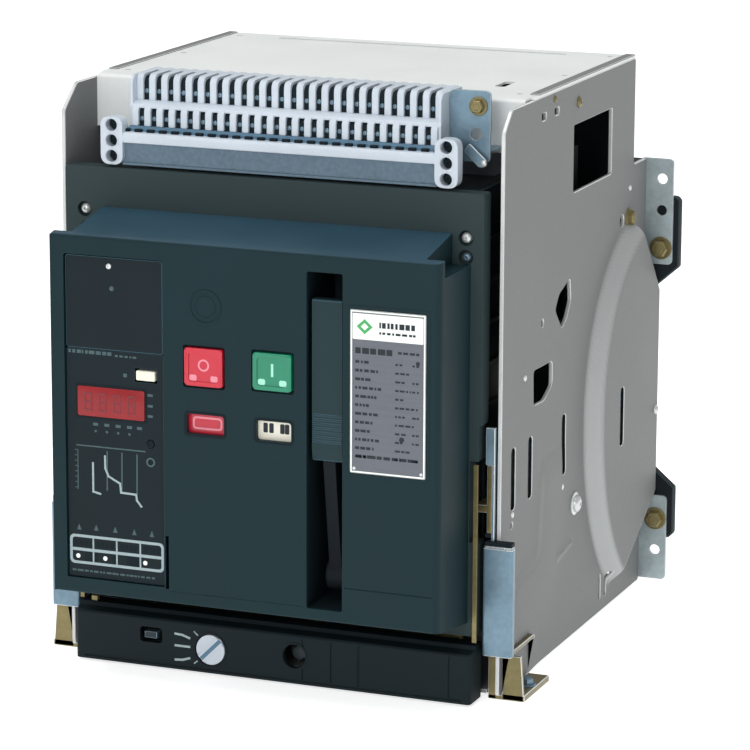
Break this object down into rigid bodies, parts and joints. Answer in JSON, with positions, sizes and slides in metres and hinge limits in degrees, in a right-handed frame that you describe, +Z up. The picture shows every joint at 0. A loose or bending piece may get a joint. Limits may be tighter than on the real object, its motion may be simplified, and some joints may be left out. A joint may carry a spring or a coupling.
{
  "type": "air circuit breaker",
  "caption": "Draw-out low-voltage air circuit breaker in its steel cradle, with trip unit, push buttons, charging handle and racking gear.",
  "frame": {"origin": "on the plane the feet stand on, under the middle of the overall footprint", "axes": "+X to the right as seen from the front, +Y to the back (towards the busbars), +Z up; the front cover faces -Y"},
  "size_m": [0.396, 0.4206, 0.441],
  "materials": {
    "plate_steel": "warm light grey painted sheet steel, satin, bright cut edges",
    "white_steel": "near-white satin powder coat",
    "zinc_blue": "blue-white passivated zinc on steel",
    "zinc_yellow": "yellow passivated zinc on steel",
    "black_moulding": "near-black glass-filled moulding, fine grain",
    "cover_moulding": "dark teal-grey moulding, fine spark-eroded grain",
    "grey_moulding": "light cool grey thermoplastic",
    "tinned_copper": "tinned copper, dull metallic",
    "red_plastic": "red gloss moulding",
    "green_plastic": "green gloss moulding",
    "display_red": "red translucent display window, glossy",
    "nameplate_metal": "printed satin aluminium plate, no lettering",
    "white_plastic": "white moulding"
  },
  "bodies": {
    "cradle": {"left_side_plate": "plate_steel", "right_side_plate": "plate_steel", "base_plate": "plate_steel", "top_plate": "white_steel", "left_rear_angle": "zinc_blue", "right_rear_angle": "zinc_blue", "left_corner_bracket": "zinc_blue", "right_corner_bracket": "zinc_blue", "left_guide_rail": "zinc_blue", "right_guide_rail": "zinc_blue", "terminal_bracket": "zinc_blue", "left_foot": "zinc_yellow", "right_foot": "zinc_yellow", "front_beam": "black_moulding", "rear_base": "black_moulding", "fixed_terminal_block": "grey_moulding", "upper_terminal_1": "tinned_copper", "lower_terminal_1": "tinned_copper", "upper_terminal_2": "tinned_copper", "lower_terminal_2": "tinned_copper", "upper_terminal_3": "tinned_copper", "lower_terminal_3": "tinned_copper"},
    "breaker": {"pole_housing": "black_moulding", "fascia": "black_moulding", "front_cover": "cover_moulding", "trip_unit": "cover_moulding", "display_lens": "display_red", "nameplate": "nameplate_metal", "plug_strip": "grey_moulding", "charging_motor": "zinc_blue", "closing_coil": "black_moulding", "upper_contact_1": "tinned_copper", "upper_contact_2": "tinned_copper", "upper_contact_3": "tinned_copper", "lower_contact_1": "tinned_copper", "lower_contact_2": "tinned_copper", "lower_contact_3": "tinned_copper", "arc_chute_1": "grey_moulding", "arc_chute_2": "grey_moulding", "arc_chute_3": "grey_moulding"},
    "racking_carriage": {"racking_carriage": "zinc_yellow"},
    "rails": {"left_slide_rail": "zinc_yellow", "right_slide_rail": "zinc_yellow"},
    "racking_screw": {"racking_screw": "zinc_yellow"},
    "position_disc": {"position_disc": "white_plastic"},
    "upper_shutter": {"upper_shutter": "grey_moulding"},
    "lower_shutter": {"lower_shutter": "grey_moulding"},
    "padlock_slide": {"padlock_slide": "zinc_blue"},
    "contact_shaft": {"main_shaft": "zinc_yellow", "moving_contact_1": "tinned_copper", "moving_contact_2": "tinned_copper", "moving_contact_3": "tinned_copper"},
    "contact_flag": {"contact_flag": "red_plastic"},
    "charging_handle": {"charging_handle": "cover_moulding"},
    "cam_shaft": {"cam_shaft": "zinc_yellow"},
    "charge_flag": {"charge_flag": "white_plastic"},
    "off_button": {"off_button": "red_plastic"},
    "on_button": {"on_button": "green_plastic"},
    "reset_button": {"reset_button": "white_plastic"},
    "test_button": {"test_button": "black_moulding"}
  },
  "joints": [
    {"name": "racking", "type": "slide", "parent": "cradle", "child": "racking_carriage", "axis": [0, -1, 0], "range_m": [0, 0.06]},
    {"name": "rail_draw", "type": "slide", "parent": "racking_carriage", "child": "rails", "axis": [0, -1, 0], "range_m": [0, 0.15]},
    {"name": "breaker_draw", "type": "slide", "parent": "rails", "child": "breaker", "axis": [0, -1, 0], "range_m": [0, 0.1]},
    {"name": "screw_turn", "type": "hinge", "parent": "cradle", "child": "racking_screw", "pos_m": [0.02, -0.07875, 0.023], "axis": [0, 1, 0], "range_deg": [0, 1800]},
    {"name": "disc_turn", "type": "hinge", "parent": "cradle", "child": "position_disc", "pos_m": [-0.047, -0.14875, 0.02], "axis": [0, 1, 0], "range_deg": [0, 90]},
    {"name": "upper_shutter_lift", "type": "slide", "parent": "cradle", "child": "upper_shutter", "axis": [0, 0, 1], "range_m": [0, 0.03]},
    {"name": "lower_shutter_drop", "type": "slide", "parent": "cradle", "child": "lower_shutter", "axis": [0, 0, -1], "range_m": [0, 0.03]},
    {"name": "padlock_pull", "type": "slide", "parent": "cradle", "child": "padlock_slide", "axis": [0, -1, 0], "range_m": [0, 0.012]},
    {"name": "contact_opening", "type": "hinge", "parent": "breaker", "child": "contact_shaft", "pos_m": [0, -0.03075, 0.17], "axis": [1, 0, 0], "range_deg": [0, 22]},
    {"name": "contact_flag_lift", "type": "slide", "parent": "breaker", "child": "contact_flag", "axis": [0, 0, 1], "range_m": [0, 0.016]},
    {"name": "handle_swing", "type": "hinge", "parent": "breaker", "child": "charging_handle", "pos_m": [0.0635, -0.17875, 0.096], "axis": [1, 0, 0], "range_deg": [0, 90], "stiffness_Nm_per_rad": 0.12, "springref_deg": -28.65},
    {"name": "cam_turn", "type": "hinge", "parent": "breaker", "child": "cam_shaft", "pos_m": [0, -0.10275, 0.15], "axis": [1, 0, 0], "range_deg": [0, 45]},
    {"name": "charge_flag_lift", "type": "slide", "parent": "breaker", "child": "charge_flag", "axis": [0, 0, 1], "range_m": [0, 0.016]},
    {"name": "off_press", "type": "slide", "parent": "breaker", "child": "off_button", "axis": [0, 1, 0], "range_m": [0, 0.004], "stiffness_N_per_m": 800},
    {"name": "on_press", "type": "slide", "parent": "breaker", "child": "on_button", "axis": [0, 1, 0], "range_m": [0, 0.004], "stiffness_N_per_m": 800},
    {"name": "reset_press", "type": "slide", "parent": "breaker", "child": "reset_button", "axis": [0, 1, 0], "range_m": [0, 0.003], "stiffness_N_per_m": 500},
    {"name": "test_press", "type": "slide", "parent": "breaker", "child": "test_button", "axis": [0, 1, 0], "range_m": [0, 0.0025], "stiffness_N_per_m": 400}
  ],
  "couplings": [
    {"joint": "breaker_draw", "follows": "rail_draw", "ratio": 0.6666},
    {"joint": "upper_shutter_lift", "follows": "rail_draw", "ratio": 0.1999},
    {"joint": "lower_shutter_drop", "follows": "rail_draw", "ratio": 0.1999},
    {"joint": "screw_turn", "follows": "racking", "rad_per_m": 523.5},
    {"joint": "disc_turn", "follows": "racking", "rad_per_m": 26.17},
    {"joint": "contact_flag_lift", "follows": "contact_opening", "m_per_rad": 0.04166},
    {"joint": "cam_turn", "follows": "handle_swing", "ratio": 0.4999},
    {"joint": "charge_flag_lift", "follows": "handle_swing", "m_per_rad": 0.01018}
  ]
}
